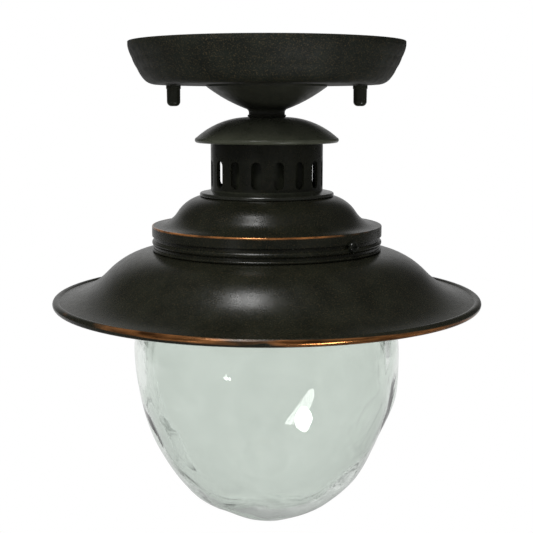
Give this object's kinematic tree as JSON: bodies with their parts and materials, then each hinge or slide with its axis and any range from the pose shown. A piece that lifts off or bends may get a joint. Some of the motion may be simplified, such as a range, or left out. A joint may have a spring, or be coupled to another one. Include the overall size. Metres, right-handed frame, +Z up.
{
  "type": "outdoor ceiling light",
  "caption": "Semi-flush outdoor ceiling light: round tiered canopy, slotted vent chimney, bell with grooved collar, flared shade with rolled rim, and a hammered clear glass globe.",
  "frame": {"origin": "centre of the canopy rim, in the plane of the ceiling", "axes": "+Z up into the ceiling along the axis of the light; -Y is the front; the mounting strap and the cap nuts lie along X"},
  "size_m": [0.28, 0.28, 0.3161],
  "materials": {
    "speckled_bronze": "oil-rubbed bronze powder coat with a fine copper speckle",
    "bronze": "satin oil-rubbed bronze, rubbed through to copper on the bell lip and the shade rim",
    "black_screws": "glossy black",
    "glass": "clear, hammered",
    "gasket_foam": "closed-cell foam",
    "gasket_silicone": "matte silicone",
    "zinc_steel": "bright zinc plate",
    "green_screw": "green passivated",
    "cast_aluminium": "as cast",
    "porcelain": "white glaze",
    "brass": "pressed",
    "white_nylon": "moulded",
    "black_insulation": "extruded",
    "white_insulation": "extruded"
  },
  "bodies": {
    "fixture": {"canopy": "speckled_bronze", "canopy_cup": "bronze", "vent_cap": "bronze", "chimney": "bronze", "chimney_ring": "bronze", "chimney_liner": "bronze", "bell": "bronze", "shade": "bronze", "canopy_gasket": "gasket_foam", "globe_gasket": "gasket_silicone", "mounting_strap": "zinc_steel", "mounting_screws": "zinc_steel", "strap_nuts": "zinc_steel", "stem": "zinc_steel", "stem_washer": "zinc_steel", "stem_nut": "zinc_steel", "holder_nut": "zinc_steel", "block_screw": "zinc_steel", "ground_screw": "green_screw", "globe_holder": "cast_aluminium", "socket_cap": "cast_aluminium", "socket_body": "porcelain", "socket_shell": "brass", "socket_contact": "brass", "terminal_screws": "brass", "terminal_block": "white_nylon", "live_lead": "black_insulation", "neutral_lead": "white_insulation"},
    "glass": {"glass_globe": "glass"},
    "screw_front": {"retaining_screw_front": "black_screws"},
    "screw_rear": {"retaining_screw_rear": "black_screws"},
    "nut_left": {"cap_nut_left": "bronze"},
    "nut_right": {"cap_nut_right": "bronze"}
  },
  "joints": [
    {"name": "glass_drop", "type": "slide", "parent": "fixture", "child": "glass", "axis": [0, 0, -1], "range_m": [0, 0.08]},
    {"name": "screw_front_out", "type": "slide", "parent": "fixture", "child": "screw_front", "axis": [0.6884, -0.7254, 0], "range_m": [0, 0.006]},
    {"name": "screw_rear_out", "type": "slide", "parent": "fixture", "child": "screw_rear", "axis": [-0.6884, 0.7254, 0], "range_m": [0, 0.006]},
    {"name": "nut_left_off", "type": "slide", "parent": "fixture", "child": "nut_left", "axis": [0, 0, -1], "range_m": [0, 0.012]},
    {"name": "nut_right_off", "type": "slide", "parent": "fixture", "child": "nut_right", "axis": [0, 0, -1], "range_m": [0, 0.012]}
  ]
}
